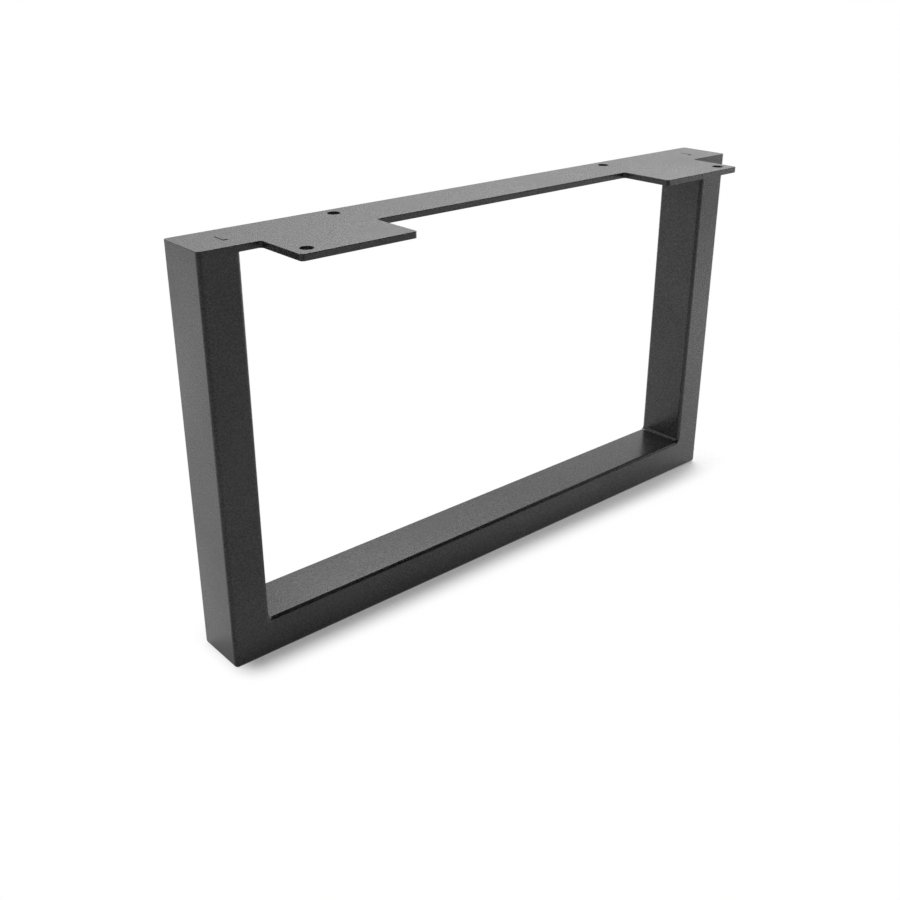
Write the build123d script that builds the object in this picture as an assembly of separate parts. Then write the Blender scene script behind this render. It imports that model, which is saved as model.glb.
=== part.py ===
from build123d import *
import os

# Furniture leg: a U-shaped frame of rectangular steel tube, mitred and welded at its two
# bottom corners, under a laser-cut steel plate that screws to the underside of a table top.
# Millimetres. X runs along the leg, the tabs reach out to -Y, and Z is up.
# The origin is the middle of the rail's underside, where the leg stands on the floor.

# Frame
frame_length = 700  # over the outer faces of the two uprights
frame_height = 400  # floor to the underside of the plate
tube_depth = 60  # across the leg
tube_face = 40  # width of an upright and height of the rail
tube_wall = 2
tube_corner = 4  # outer radius along the tube's edges, to which the mitres are ground too
weld_radius = 4  # concave face of the bead inside each mitred corner

# Plate
plate_thickness = 6
tab_reach = 60  # how far a tab stands out from the strip over the tubes
tab_width = 120
tab_inset = 60  # from the end of the plate to the near side of a tab
cut_corner = 3.5  # radius of the tabs' corners, inside and outside
rim_radius = 0.6  # eased top edge of the plate
hole_diameter = 12
hole_chamfer = 0.5  # deburred top edge of each hole
hole_edge = 15  # from a hole's centre to each of the two edges it is nearest to

# Locating marks, scribed in the top of the plate beside the inner face of each upright
mark_length = 15  # long stroke, across the plate
mark_foot = 3.5  # short stroke, which ends level with the upright's inner face
mark_start = 23  # from the back edge of the plate to the long stroke
mark_width = 0.7
mark_depth = 0.4

half_length = frame_length / 2
half_depth = tube_depth / 2
plate_top = frame_height + plate_thickness
SIDES = {"left": -1, "right": 1}


def tube_section(shrink):
    """The tube's outline, pulled in on every side by `shrink`."""
    return RectangleRounded(
        tube_face - 2 * shrink, tube_depth - 2 * shrink, tube_corner - shrink
    )


def upright_bar(side, shrink):
    """A solid bar on the line of an upright, from the floor to the plate."""
    centre = side * (half_length - tube_face / 2)
    return extrude(Pos(centre, 0, 0) * tube_section(shrink), frame_height)


def rail_bar(shrink):
    """A solid bar on the line of the rail, over the whole length of the frame."""
    start = Plane((-half_length, 0, tube_face / 2), x_dir=(0, 0, 1), z_dir=(1, 0, 0))
    return extrude(start * tube_section(shrink), frame_length)


def mitre_plane(side):
    """The 45 degree cut at one bottom corner, facing the upright's half."""
    return Plane((side * half_length, 0, 0), x_dir=(0, 1, 0), z_dir=(side, 0, 1))


def outer_envelope():
    """The outside of the frame as one block, rounded on all its edges but the top ones."""
    block = Pos(0, 0, frame_height / 2) * Box(frame_length, tube_depth, frame_height)
    rounded = block.edges() - block.edges().group_by(Axis.Z)[-1]
    return fillet(rounded, tube_corner)


def upright(side):
    """One upright: tube, mitred at the foot and square under the plate."""
    tube = upright_bar(side, 0) - upright_bar(side, tube_wall)
    tube = split(tube, bisect_by=mitre_plane(side), keep=Keep.TOP)
    return tube & outer_envelope()


def rail():
    """The rail that stands on the floor: tube, mitred at both ends."""
    tube = rail_bar(0) - rail_bar(tube_wall)
    for side in SIDES.values():
        tube = split(tube, bisect_by=mitre_plane(side), keep=Keep.BOTTOM)
    return tube & outer_envelope()


def corner_weld(side):
    """The dressed bead inside a mitred corner, which wraps round the tube's edges."""
    centre_x = side * (half_length - tube_face - weld_radius)
    centre_z = tube_face + weld_radius
    section = Pos(side * (half_length - tube_face / 2), 0, centre_z) * tube_section(0)
    turn = Axis((centre_x, 0, centre_z), (0, side, 0))
    elbow = revolve(section, axis=turn, revolution_arc=90)
    return elbow - upright_bar(side, 0) - rail_bar(0)


def plate_outline():
    """The plate in plan: a strip over the tubes with two tabs."""
    outline = Rectangle(frame_length, tube_depth)
    tab_centre = half_length - tab_inset - tab_width / 2
    for side in SIDES.values():
        place = Pos(side * tab_centre, -half_depth - tab_reach / 2)
        outline += place * Rectangle(tab_width, tab_reach)
    ends = outline.vertices().filter_by(lambda v: abs(v.X) > half_length - tab_inset / 2)
    outline = fillet(ends, tube_corner)
    cuts = outline.vertices().filter_by(lambda v: abs(v.X) < half_length - tab_inset / 2)
    return fillet(cuts, cut_corner)


def hole_centres():
    """Two holes by the tabs' outer front corners, two behind the tabs' inner sides."""
    outer_x = half_length - tab_inset - hole_edge
    inner_x = half_length - tab_inset - tab_width + hole_edge
    front_y = -half_depth - tab_reach + hole_edge
    back_y = half_depth - hole_edge
    centres = []
    for side in SIDES.values():
        centres.append((side * outer_x, front_y))
        centres.append((side * inner_x, back_y))
    return centres


def locating_mark(side):
    """An L-shaped groove, its foot ending level with the upright's inner face."""
    stroke_x = side * (half_length - tube_face + mark_foot)
    foot_x = side * (half_length - tube_face + mark_foot / 2)
    corner_y = half_depth - mark_start - mark_length
    stroke = Pos(stroke_x, corner_y + mark_length / 2) * Rectangle(mark_width, mark_length)
    foot = Pos(foot_x, corner_y) * Rectangle(mark_foot, mark_width)
    return extrude(Pos(0, 0, plate_top) * (stroke + foot), -mark_depth)


def top_plate():
    """The fixing plate, with its screw holes and locating marks."""
    outline = plate_outline()
    for x, y in hole_centres():
        outline -= Pos(x, y) * Circle(hole_diameter / 2)
    plate = extrude(Pos(0, 0, frame_height) * outline, plate_thickness)
    plate = fillet(plate.faces().sort_by(Axis.Z)[-1].outer_wire().edges(), rim_radius)
    hole_rims = plate.faces().sort_by(Axis.Z)[-1].inner_wires().edges()
    plate = chamfer(hole_rims, hole_chamfer)
    for side in SIDES.values():
        plate -= locating_mark(side)
    return plate


os.makedirs("parts", exist_ok=True)
export_step(top_plate(), "parts/top_plate.step")
export_step(rail(), "parts/bottom_rail.step")
for name, side in SIDES.items():
    export_step(upright(side), f"parts/{name}_upright.step")
    export_step(corner_weld(side), f"parts/{name}_corner_weld.step")
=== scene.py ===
"""A welded steel furniture leg in dark powder coat, standing on a pale studio floor."""
from math import cos, radians, sin

import bpy
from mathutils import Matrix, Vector


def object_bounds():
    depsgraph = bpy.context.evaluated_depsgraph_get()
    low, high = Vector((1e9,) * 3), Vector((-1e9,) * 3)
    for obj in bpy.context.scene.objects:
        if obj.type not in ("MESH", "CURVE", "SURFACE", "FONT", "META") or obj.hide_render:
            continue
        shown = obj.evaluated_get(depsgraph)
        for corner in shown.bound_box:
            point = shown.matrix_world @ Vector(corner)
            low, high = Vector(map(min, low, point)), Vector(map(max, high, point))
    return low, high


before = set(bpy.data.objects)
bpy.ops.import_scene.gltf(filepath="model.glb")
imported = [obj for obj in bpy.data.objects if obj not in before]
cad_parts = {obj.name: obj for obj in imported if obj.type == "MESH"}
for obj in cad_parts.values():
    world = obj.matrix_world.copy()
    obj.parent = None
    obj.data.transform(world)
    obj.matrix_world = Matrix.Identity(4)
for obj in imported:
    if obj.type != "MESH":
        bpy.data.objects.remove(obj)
cad_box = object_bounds()

MM = 0.001

# The leg's middle is at the origin, so its far corner gives half its length, the place of
# its back face, and the height of the plate's top.
HALF_LENGTH, BACK_FACE, PLATE_TOP = cad_box[1]


def srgb(hex_code):
    """A colour written as sRGB hex, as the linear values a shader takes."""
    channels = [int(hex_code[i:i + 2], 16) / 255 for i in (1, 3, 5)]
    linear = [c / 12.92 if c <= 0.04045 else ((c + 0.055) / 1.055) ** 2.4 for c in channels]
    return (*linear, 1)


def per_metre(pitch_mm):
    """The noise scale whose features are about the given size apart."""
    return 1 / (pitch_mm * MM)


def empty_tree(owner):
    """Switch on the nodes of a material or world, without the ones it starts with."""
    owner.use_nodes = True
    owner.node_tree.nodes.clear()
    return owner.node_tree


def add_node(tree, kind, settings=None, sockets=None, links=None):
    """Add one node, set its choices and socket values, and link its inputs."""
    node = tree.nodes.new(kind)
    for name, value in (settings or {}).items():
        setattr(node, name, value)
    for name, value in (sockets or {}).items():
        node.inputs[name].default_value = value
    for name, source in (links or {}).items():
        tree.links.new(source, node.inputs[name])
    return node


# The camera stands where the photograph was taken from, in front of the leg, to its left and
# above it.
CAMERA_PLACE = (-0.747869, -0.801916, 0.628473)
CAMERA_AZIMUTH = -40.7783
CAMERA_ELEVATION = 23.3928
SENSOR_WIDTH_MM = 36
LENS_MM = 43.0797
FRAME_SHIFT = -0.037719  # the leg sits a little above the middle of the photograph

bpy.ops.object.select_all(action="DESELECT")
bpy.ops.object.camera_add(
    location=CAMERA_PLACE,
    rotation=(radians(90 - CAMERA_ELEVATION), 0, radians(CAMERA_AZIMUTH)),
)
camera = bpy.context.object
camera.name = "photo_camera"
camera.data.sensor_width = SENSOR_WIDTH_MM
camera.data.lens = LENS_MM
camera.data.shift_y = FRAME_SHIFT
camera.data.clip_start = 0.01
camera.data.clip_end = 100
bpy.context.scene.camera = camera

# Powder melts into grains about half a millimetre across. They are drawn coarser, so that
# they show.
GRAIN_PITCH_MM = 1.8
# Noise turns weak in the planes through whole multiples of its pitch, where many faces lie,
# so the grain is drawn off them.
GRAIN_OFFSET_MM = 0.8
# Over the grains, the film swells and thins like orange peel.
PEEL_PITCH_MM = 8.0
PEEL_HEIGHT_MM = 0.02
# The spray gun leaves bands a hand wide in which the coat is a little thicker.
FILM_PITCH_MM = 90.0
# Levels of noise that count as none and all of it. Close together they make plain dark and
# light dots of the grain, and wide apart they leave the film soft.
GRAIN_LEVELS = (0.42, 0.58)
FILM_LEVELS = (0.25, 0.75)
GRAIN_SHARE = 0.8  # how much of the change from the dark to the light grey is the grain's
FILM_SHEEN = 0.03  # roughness lost where the film is thick, and gained where it is thin
DOT_SHEEN = 0.02  # roughness that a light dot has over a dark one, on the plate

# The two locating marks, each a stroke with a foot, one at either end of the plate. For each
# bar: how far its middle lies from that end and its reach to both sides, then how far it lies
# from the back edge and its reach, all in millimetres. They are painted dark, as painted shade
# in the grooves, and drawn wider than cut, so that they show.
MARK_BARS_MM = {
    "stroke": (36.5, 0.8, 30.5, 7.8),
    "foot": (38.3, 2.6, 38.0, 1.6),
}
MARK_DEPTH_MM = 1.0  # deeper than cut, and far above the underside of the plate
# Painted shade: the grooves of the marks are coloured this dark grey.
MARK_PAINTED_SHADE = "#0A0A0A"
MARK_ROUGHNESS = 0.9


def scribed_marks(tree, place):
    """One inside the two scribed marks on top of the plate, and nought elsewhere."""
    parts = add_node(tree, "ShaderNodeSeparateXYZ", links={"Vector": place})
    sideways = add_node(
        tree, "ShaderNodeMath", {"operation": "ABSOLUTE"},
        links={0: parts.outputs["X"]},
    )
    bars = []
    for from_end, reach_x, from_back, reach_y in MARK_BARS_MM.values():
        in_x = add_node(
            tree, "ShaderNodeMath", {"operation": "COMPARE"},
            sockets={1: HALF_LENGTH - from_end * MM, 2: reach_x * MM},
            links={0: sideways.outputs["Value"]},
        )
        in_y = add_node(
            tree, "ShaderNodeMath", {"operation": "COMPARE"},
            sockets={1: BACK_FACE - from_back * MM, 2: reach_y * MM},
            links={0: parts.outputs["Y"]},
        )
        bars.append(add_node(
            tree, "ShaderNodeMath", {"operation": "MULTIPLY"},
            links={0: in_x.outputs["Value"], 1: in_y.outputs["Value"]},
        ))
    either = add_node(
        tree, "ShaderNodeMath", {"operation": "MAXIMUM"},
        links={0: bars[0].outputs["Value"], 1: bars[1].outputs["Value"]},
    )
    on_top = add_node(
        tree, "ShaderNodeMath", {"operation": "GREATER_THAN"},
        sockets={1: PLATE_TOP - MARK_DEPTH_MM * MM}, links={0: parts.outputs["Z"]},
    )
    mark = add_node(
        tree, "ShaderNodeMath", {"operation": "MULTIPLY"},
        links={0: either.outputs["Value"], 1: on_top.outputs["Value"]},
    )
    return mark.outputs["Value"]


def powder_coat(
    name, light_grey, dark_grey, roughness, specular, grain_height_mm, scribed=False
):
    """Oven-cured powder coat with a fine sand texture, satin-matt and free of flow marks."""
    material = bpy.data.materials.new(name)
    tree = empty_tree(material)
    place = add_node(tree, "ShaderNodeTexCoord").outputs["Object"]
    between = add_node(
        tree, "ShaderNodeVectorMath", {"operation": "ADD"},
        sockets={1: (GRAIN_OFFSET_MM * MM,) * 3}, links={0: place},
    )

    grain = add_node(
        tree, "ShaderNodeTexNoise",
        sockets={"Scale": per_metre(GRAIN_PITCH_MM), "Detail": 2.0, "Roughness": 0.6},
        links={"Vector": between.outputs["Vector"]},
    )
    peel = add_node(
        tree, "ShaderNodeTexNoise",
        sockets={"Scale": per_metre(PEEL_PITCH_MM), "Detail": 1.0, "Roughness": 0.5},
        links={"Vector": place},
    )
    film = add_node(
        tree, "ShaderNodeTexNoise",
        sockets={"Scale": per_metre(FILM_PITCH_MM), "Detail": 2.0, "Roughness": 0.5},
        links={"Vector": place},
    )

    # Each grain is a light or a dark grey dot, and the film's bands shift them all a little.
    speckle = add_node(
        tree, "ShaderNodeMapRange",
        sockets={"From Min": GRAIN_LEVELS[0], "From Max": GRAIN_LEVELS[1]},
        links={"Value": grain.outputs["Fac"]},
    )
    blend = add_node(
        tree, "ShaderNodeMath", {"operation": "MULTIPLY_ADD"},
        sockets={1: GRAIN_SHARE},
        links={0: speckle.outputs["Result"], 2: film.outputs["Fac"]},
    )
    share = add_node(
        tree, "ShaderNodeMath", {"operation": "SUBTRACT", "use_clamp": True},
        sockets={1: GRAIN_SHARE / 2}, links={0: blend.outputs["Value"]},
    )
    colour = add_node(
        tree, "ShaderNodeMix", {"data_type": "RGBA"},
        sockets={6: srgb(dark_grey), 7: srgb(light_grey)},
        links={0: share.outputs["Value"]},
    )
    sheen = add_node(
        tree, "ShaderNodeMapRange",
        sockets={
            "From Min": FILM_LEVELS[0], "From Max": FILM_LEVELS[1],
            "To Min": roughness + FILM_SHEEN, "To Max": roughness - FILM_SHEEN,
        },
        links={"Value": film.outputs["Fac"]},
    )
    peel_bump = add_node(
        tree, "ShaderNodeBump",
        sockets={"Strength": 1.0, "Distance": PEEL_HEIGHT_MM * MM},
        links={"Height": peel.outputs["Fac"]},
    )
    grain_bump = add_node(
        tree, "ShaderNodeBump",
        sockets={"Strength": 1.0, "Distance": grain_height_mm * MM},
        links={"Height": grain.outputs["Fac"], "Normal": peel_bump.outputs["Normal"]},
    )
    # The matting agent in the powder keeps the sheen below that of a gloss paint.
    shader = add_node(
        tree, "ShaderNodeBsdfPrincipled",
        sockets={"Metallic": 0.0, "IOR": 1.5, "Specular IOR Level": specular},
        links={
            "Base Color": colour.outputs[2],
            "Roughness": sheen.outputs["Result"],
            "Normal": grain_bump.outputs["Normal"],
        },
    )
    if scribed:
        # The flat plate lies under the lamps, and there each grain shows as a brighter or a
        # duller dot.
        dots = add_node(
            tree, "ShaderNodeMath", {"operation": "MULTIPLY_ADD"},
            sockets={1: DOT_SHEEN},
            links={0: speckle.outputs["Result"], 2: sheen.outputs["Result"]},
        )
        # The scribed marks show dull through a high roughness, and dark through painted shade in
        # their grooves.
        mark = scribed_marks(tree, place)
        marked_sheen = add_node(
            tree, "ShaderNodeMix", {"data_type": "FLOAT"},
            sockets={3: MARK_ROUGHNESS}, links={0: mark, 2: dots.outputs["Value"]},
        )
        colour_with_painted_shade = add_node(
            tree, "ShaderNodeMix", {"data_type": "RGBA"},
            sockets={7: srgb(MARK_PAINTED_SHADE)}, links={0: mark, 6: colour.outputs[2]},
        )
        tree.links.new(marked_sheen.outputs[0], shader.inputs["Roughness"])
        tree.links.new(colour_with_painted_shade.outputs[2], shader.inputs["Base Color"])
    add_node(
        tree, "ShaderNodeOutputMaterial",
        links={"Surface": shader.outputs["BSDF"]},
    )
    return material


# The laser-cut plate is flat, so its coat shows its grain most, as an even sandy texture.
plate_coat = powder_coat(
    "fine_texture_powder_coated_steel_plate",
    light_grey="#363636", dark_grey="#181818",
    roughness=0.26, specular=0.3, grain_height_mm=0.2, scribed=True,
)
# On the tubes the same coat is a soft dark grey, with fine lighter and darker dots.
tube_coat = powder_coat(
    "fine_texture_powder_coated_steel_tube",
    light_grey="#3C3C3C", dark_grey="#121212",
    roughness=0.26, specular=0.3, grain_height_mm=0.1,
)
# The dressed bead is smooth under its coat, so it catches a thin line of light.
weld_coat = powder_coat(
    "powder_coated_dressed_weld",
    light_grey="#2E2E2E", dark_grey="#141414",
    roughness=0.25, specular=0.42, grain_height_mm=0.02,
)

COATS = {
    "top_plate": plate_coat,
    "left_upright": tube_coat,
    "right_upright": tube_coat,
    "bottom_rail": tube_coat,
    "left_corner_weld": weld_coat,
    "right_corner_weld": weld_coat,
}
for name, coat in COATS.items():
    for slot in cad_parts[name].material_slots:
        slot.material = coat

FLOOR_RADIUS = 8.0
# Its fibres mottle paper more finely than this, too finely to show.
FIBRE_PITCH_MM = 4.0
# The shadow's fade is painted: plain white is mixed into the lit paper by distance from the
# footprint of the rail. It is longer to the right, so it is drawn round a footprint that lies
# further to the right.
SHADOW_TO_RIGHT_MM = 25
SHADOW_ENDS = 0.25  # how far left and right of the middle its widths are given, in metres
SHADOW_LEFT_MM = 37
SHADOW_RIGHT_MM = 46
SHADOW_FULL_MM = 6  # at the right it stays dark this far out before it fades
SHADOW_WHITE = 0.26  # share of plain white close to the leg
# The light that the paper throws back at the leg is a painted glow, seen only in reflections, as
# a share of white; it grows from left to right and again further behind. The places are in
# metres.
GLARE_PLACES = (0.1, 0.8)
GLARE = (0.42, 1.0)
BEHIND_PLACES = (0.35, 0.9)
BEHIND_GAIN = 1.9


def studio_paper():
    """Matt white paper: painted plain white but for its lit shadow round the leg, with a painted
    glow in reflections.
    """
    material = bpy.data.materials.new("matt_white_studio_paper")
    tree = empty_tree(material)
    place = add_node(tree, "ShaderNodeTexCoord").outputs["Object"]

    # Distance from the footprint.
    from_middle = add_node(
        tree, "ShaderNodeVectorMath", {"operation": "SUBTRACT"},
        sockets={1: (SHADOW_TO_RIGHT_MM * MM, 0, 0)}, links={0: place},
    )
    mirrored_place = add_node(
        tree, "ShaderNodeVectorMath", {"operation": "ABSOLUTE"},
        links={0: from_middle.outputs["Vector"]},
    )
    past_edges = add_node(
        tree, "ShaderNodeVectorMath", {"operation": "SUBTRACT"},
        sockets={1: (HALF_LENGTH, BACK_FACE, 0)},
        links={0: mirrored_place.outputs["Vector"]},
    )
    outside = add_node(
        tree, "ShaderNodeVectorMath", {"operation": "MAXIMUM"},
        sockets={1: (0, 0, 0)}, links={0: past_edges.outputs["Vector"]},
    )
    distance = add_node(
        tree, "ShaderNodeVectorMath", {"operation": "LENGTH"},
        links={0: outside.outputs["Vector"]},
    )

    # From there the paper goes over to painted plain white, which paints the shadow's fade.
    across = add_node(tree, "ShaderNodeSeparateXYZ", links={"Vector": place})
    shadow_start = add_node(
        tree, "ShaderNodeMapRange",
        sockets={
            "From Min": 0.0, "From Max": SHADOW_ENDS,
            "To Min": 0.0, "To Max": SHADOW_FULL_MM * MM,
        },
        links={"Value": across.outputs["X"]},
    )
    shadow_end = add_node(
        tree, "ShaderNodeMapRange",
        sockets={
            "From Min": -SHADOW_ENDS, "From Max": SHADOW_ENDS,
            "To Min": SHADOW_LEFT_MM * MM, "To Max": SHADOW_RIGHT_MM * MM,
        },
        links={"Value": across.outputs["X"]},
    )
    painted_white_share = add_node(
        tree, "ShaderNodeMapRange", {"interpolation_type": "SMOOTHSTEP"},
        sockets={"To Min": SHADOW_WHITE, "To Max": 1.0},
        links={
            "Value": distance.outputs["Value"],
            "From Min": shadow_start.outputs["Result"],
            "From Max": shadow_end.outputs["Result"],
        },
    )

    # Painted glow: to the right, nearer the key light, more of the paper glares back at the leg
    # in reflections.
    glare = add_node(
        tree, "ShaderNodeMapRange", {"interpolation_type": "SMOOTHSTEP"},
        sockets={
            "From Min": GLARE_PLACES[0], "From Max": GLARE_PLACES[1],
            "To Min": GLARE[0], "To Max": GLARE[1],
        },
        links={"Value": across.outputs["X"]},
    )
    # So does more of it far behind the leg, up to where it is plain white.
    behind = add_node(
        tree, "ShaderNodeMapRange", {"interpolation_type": "SMOOTHSTEP"},
        sockets={
            "From Min": BEHIND_PLACES[0], "From Max": BEHIND_PLACES[1],
            "To Min": 1.0, "To Max": BEHIND_GAIN,
        },
        links={"Value": across.outputs["Y"]},
    )
    full_glare = add_node(
        tree, "ShaderNodeMath", {"operation": "MULTIPLY", "use_clamp": True},
        links={0: glare.outputs["Result"], 1: behind.outputs["Result"]},
    )
    path = add_node(tree, "ShaderNodeLightPath")
    seen = add_node(
        tree, "ShaderNodeMath", {"operation": "MULTIPLY"},
        links={0: path.outputs["Is Camera Ray"], 1: painted_white_share.outputs["Result"]},
    )
    through_gloss = add_node(
        tree, "ShaderNodeMath", {"operation": "MAXIMUM"},
        links={0: path.outputs["Is Glossy Ray"], 1: path.outputs["Is Transmission Ray"]},
    )
    reflected_paint_strength = add_node(
        tree, "ShaderNodeMath", {"operation": "MULTIPLY"},
        links={0: through_gloss.outputs["Value"], 1: full_glare.outputs["Value"]},
    )

    # The fibres mottle the paper just enough to be felt in the shadow.
    fibres = add_node(
        tree, "ShaderNodeTexNoise",
        sockets={"Scale": per_metre(FIBRE_PITCH_MM), "Detail": 3.0, "Roughness": 0.6},
        links={"Vector": place},
    )
    tone = add_node(
        tree, "ShaderNodeMix", {"data_type": "RGBA"},
        sockets={6: srgb("#E2E2E2"), 7: srgb("#FFFFFF")},
        links={0: fibres.outputs["Fac"]},
    )
    paper = add_node(tree, "ShaderNodeBsdfDiffuse", links={"Color": tone.outputs[2]})
    white = add_node(tree, "ShaderNodeEmission", sockets={"Strength": 1.0})
    paper_seen = add_node(
        tree, "ShaderNodeMixShader",
        links={0: seen.outputs["Value"], 1: paper.outputs["BSDF"], 2: white.outputs["Emission"]},
    )
    # The painted glow: an emission on the paper, seen only by glossy and transmission rays.
    painted_glow = add_node(tree, "ShaderNodeEmission", links={"Strength": reflected_paint_strength.outputs["Value"]})
    paper_mirrored = add_node(
        tree, "ShaderNodeAddShader",
        links={0: paper_seen.outputs["Shader"], 1: painted_glow.outputs["Emission"]},
    )
    add_node(
        tree, "ShaderNodeOutputMaterial",
        links={"Surface": paper_mirrored.outputs["Shader"]},
    )
    return material


bpy.ops.object.select_all(action="DESELECT")
bpy.ops.mesh.primitive_circle_add(
    vertices=128, radius=FLOOR_RADIUS, fill_type="NGON", location=(0, 0, 0)
)
floor = bpy.context.object
floor.name = "studio_floor"
floor.data.materials.append(studio_paper())

# Between these angles above the horizon, in degrees, the wall turns light and then dark.
WALL_FOOT = (2, 8)
WALL_HEAD = (27, 40)
WALL_SIDES = (-0.6, 0.4)  # and between these it turns light towards the back
# To the right, where it is nearer the key light, the wall is brighter than white and lit
# higher up: it turns so along this direction, between these lengths of the view's direction
# on it.
TO_RIGHT = (1.0, -0.8, 0.0)
RIGHT_LEVELS = (0.01, 0.34)
BRIGHTEST = 1.52
HEAD_RISE = 0.2  # how far the head rises with the brightness, as a sine


def studio_room():
    """A dark room with a lit band of white wall behind the leg; the camera sees plain white."""
    world = bpy.data.worlds.new("studio_room")
    tree = empty_tree(world)
    direction = add_node(tree, "ShaderNodeTexCoord").outputs["Generated"]
    parts = add_node(tree, "ShaderNodeSeparateXYZ", links={"Vector": direction})
    foot = add_node(
        tree, "ShaderNodeMapRange", {"interpolation_type": "SMOOTHSTEP"},
        sockets={
            "From Min": sin(radians(WALL_FOOT[0])), "From Max": sin(radians(WALL_FOOT[1])),
            "To Min": 0.0, "To Max": 1.0,
        },
        links={"Value": parts.outputs["Z"]},
    )
    to_right = add_node(
        tree, "ShaderNodeVectorMath", {"operation": "DOT_PRODUCT"},
        sockets={1: TO_RIGHT}, links={0: direction},
    )
    brighter = add_node(
        tree, "ShaderNodeMapRange",
        sockets={
            "From Min": RIGHT_LEVELS[0], "From Max": RIGHT_LEVELS[1],
            "To Min": 1.0, "To Max": BRIGHTEST,
        },
        links={"Value": to_right.outputs["Value"]},
    )
    lowered = add_node(
        tree, "ShaderNodeMath", {"operation": "MULTIPLY_ADD"},
        sockets={1: -HEAD_RISE}, links={0: brighter.outputs["Result"], 2: parts.outputs["Z"]},
    )
    head = add_node(
        tree, "ShaderNodeMapRange", {"interpolation_type": "SMOOTHSTEP"},
        sockets={
            "From Min": sin(radians(WALL_HEAD[0])) - HEAD_RISE,
            "From Max": sin(radians(WALL_HEAD[1])) - HEAD_RISE,
            "To Min": 1.0, "To Max": 0.0,
        },
        links={"Value": lowered.outputs["Value"]},
    )
    # Only the wall behind the leg is lit.
    side = add_node(
        tree, "ShaderNodeMapRange", {"interpolation_type": "SMOOTHSTEP"},
        sockets={
            "From Min": WALL_SIDES[0], "From Max": WALL_SIDES[1],
            "To Min": 0.0, "To Max": 1.0,
        },
        links={"Value": parts.outputs["Y"]},
    )
    band = add_node(
        tree, "ShaderNodeMath", {"operation": "MULTIPLY"},
        links={0: foot.outputs["Result"], 1: head.outputs["Result"]},
    )
    wall = add_node(
        tree, "ShaderNodeMath", {"operation": "MULTIPLY"},
        links={0: band.outputs["Value"], 1: side.outputs["Result"]},
    )
    lit_wall = add_node(
        tree, "ShaderNodeMath", {"operation": "MULTIPLY"},
        links={0: wall.outputs["Value"], 1: brighter.outputs["Result"]},
    )
    path = add_node(tree, "ShaderNodeLightPath")
    seen = add_node(
        tree, "ShaderNodeMath", {"operation": "MAXIMUM"},
        links={0: path.outputs["Is Camera Ray"], 1: lit_wall.outputs["Value"]},
    )
    background = add_node(
        tree, "ShaderNodeBackground",
        sockets={"Color": srgb("#FFFFFF")},
        links={"Strength": seen.outputs["Value"]},
    )
    add_node(
        tree, "ShaderNodeOutputWorld",
        links={"Surface": background.outputs["Background"]},
    )
    bpy.context.scene.world = world


studio_room()

# Softboxes, all aimed at the middle of the leg. For each: its azimuth from +X towards +Y and
# its elevation in degrees, its distance, width and height in metres, and its power in watts.
SOFTBOXES = {
    "key": (50, 40, 2.4, 0.7, 0.7, 10),
    "key_behind_right": (20, 42, 2.4, 1.6, 0.9, 43),
    "key_behind_left": (82, 42, 2.4, 1.6, 0.9, 15.5),
    "right_end_low": (342, 12, 1.4, 0.7, 0.5, 3.6),
    "left_end_low": (152, 28, 1.4, 0.8, 0.5, 3.4),
}
AIM = Vector((0, 0, 0.2))
WITHOUT_GLINT = "key_behind_right"  # stands where the rail's front edge would mirror it
for name, (azimuth, elevation, distance, width, height, watts) in SOFTBOXES.items():
    outward = Vector((
        cos(radians(azimuth)) * cos(radians(elevation)),
        sin(radians(azimuth)) * cos(radians(elevation)),
        sin(radians(elevation)),
    ))
    bpy.ops.object.select_all(action="DESELECT")
    bpy.ops.object.light_add(
        type="AREA",
        location=AIM + outward * distance,
        rotation=outward.to_track_quat("Z", "Y").to_euler(),
    )
    softbox = bpy.context.object
    softbox.name = name
    softbox.data.shape = "RECTANGLE"
    softbox.data.size = width
    softbox.data.size_y = height
    softbox.data.energy = watts
    softbox.visible_camera = False
    softbox.visible_glossy = name != WITHOUT_GLINT

bpy.context.scene.view_settings.view_transform = "Standard"
